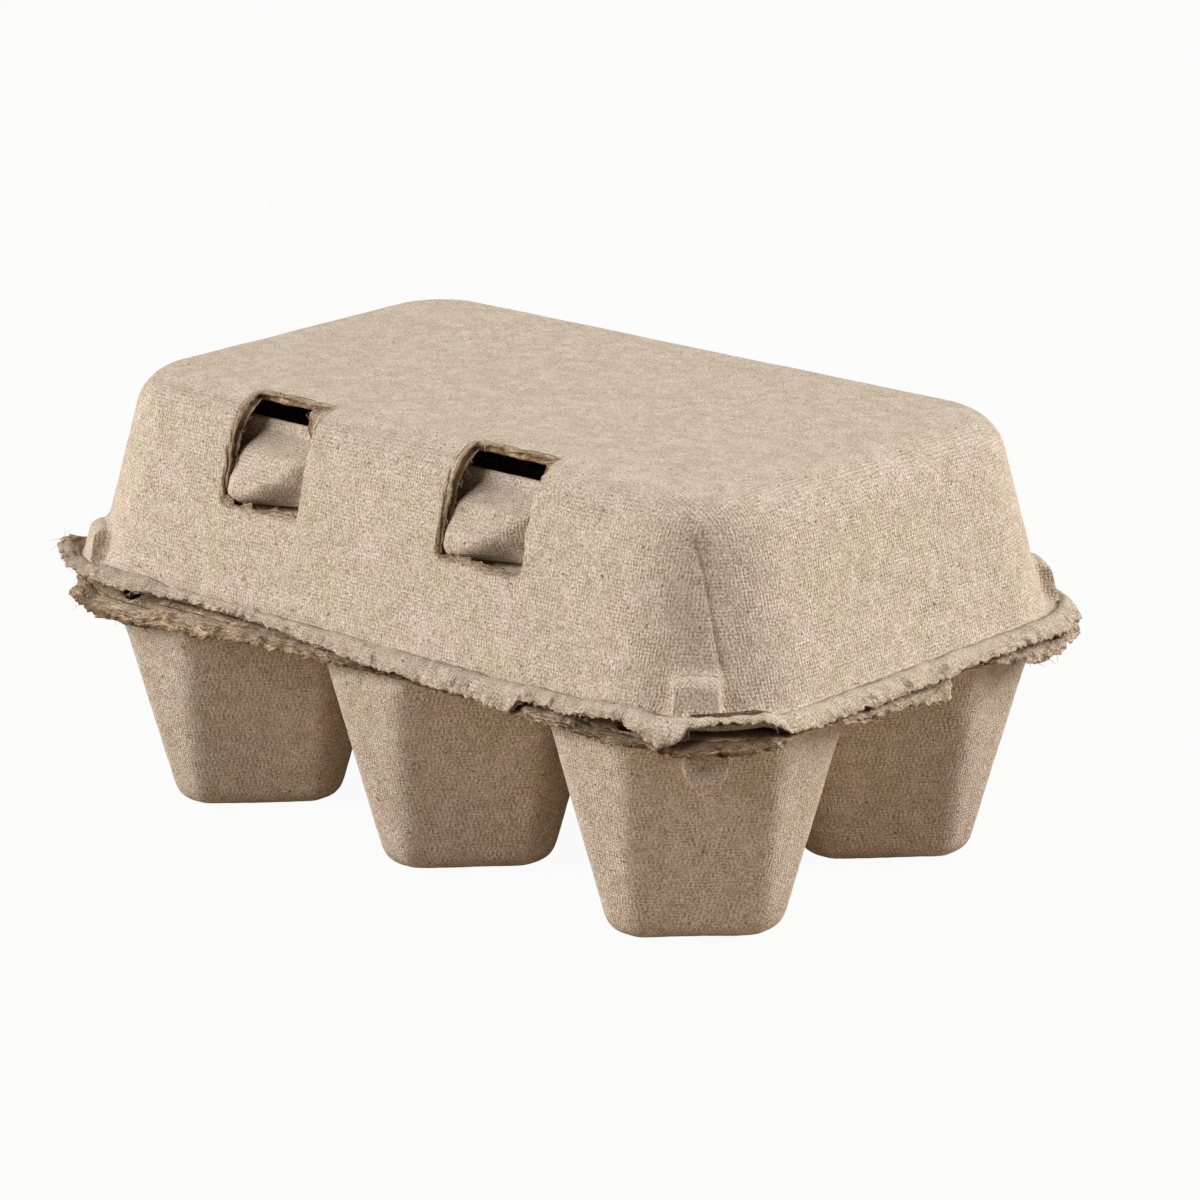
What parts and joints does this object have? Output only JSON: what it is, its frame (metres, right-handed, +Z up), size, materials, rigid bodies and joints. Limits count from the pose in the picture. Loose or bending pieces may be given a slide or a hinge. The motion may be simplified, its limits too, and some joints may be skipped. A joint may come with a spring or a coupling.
{
  "type": "half-dozen egg carton",
  "caption": "Moulded pulp egg carton with a drafted lid folding at the back, eight-sided cells hung from a flange, and a folded front flap whose buttons catch in lid windows.",
  "frame": {"origin": "bottom centre of the closed carton, on the surface that the cells stand on", "axes": "+X along the length, -Y towards the latch side, +Y towards the lid's fold, +Z up"},
  "size_m": [0.15, 0.1, 0.07],
  "materials": {
    "pulp": "matte moulded pulp"
  },
  "bodies": {
    "tray": {"tray": "pulp"},
    "lid": {"lid": "pulp"},
    "latch_flap": {"latch_flap": "pulp"}
  },
  "joints": [
    {"name": "lid_hinge", "type": "hinge", "parent": "tray", "child": "lid", "pos_m": [0, 0.05015, 0.037], "axis": [-1, 0, 0], "range_deg": [0, 180]},
    {"name": "flap_hinge", "type": "hinge", "parent": "tray", "child": "latch_flap", "pos_m": [0, -0.04282, 0.03815], "axis": [-1, 0, 0], "range_deg": [0, 14], "stiffness_Nm_per_rad": 0.03}
  ]
}
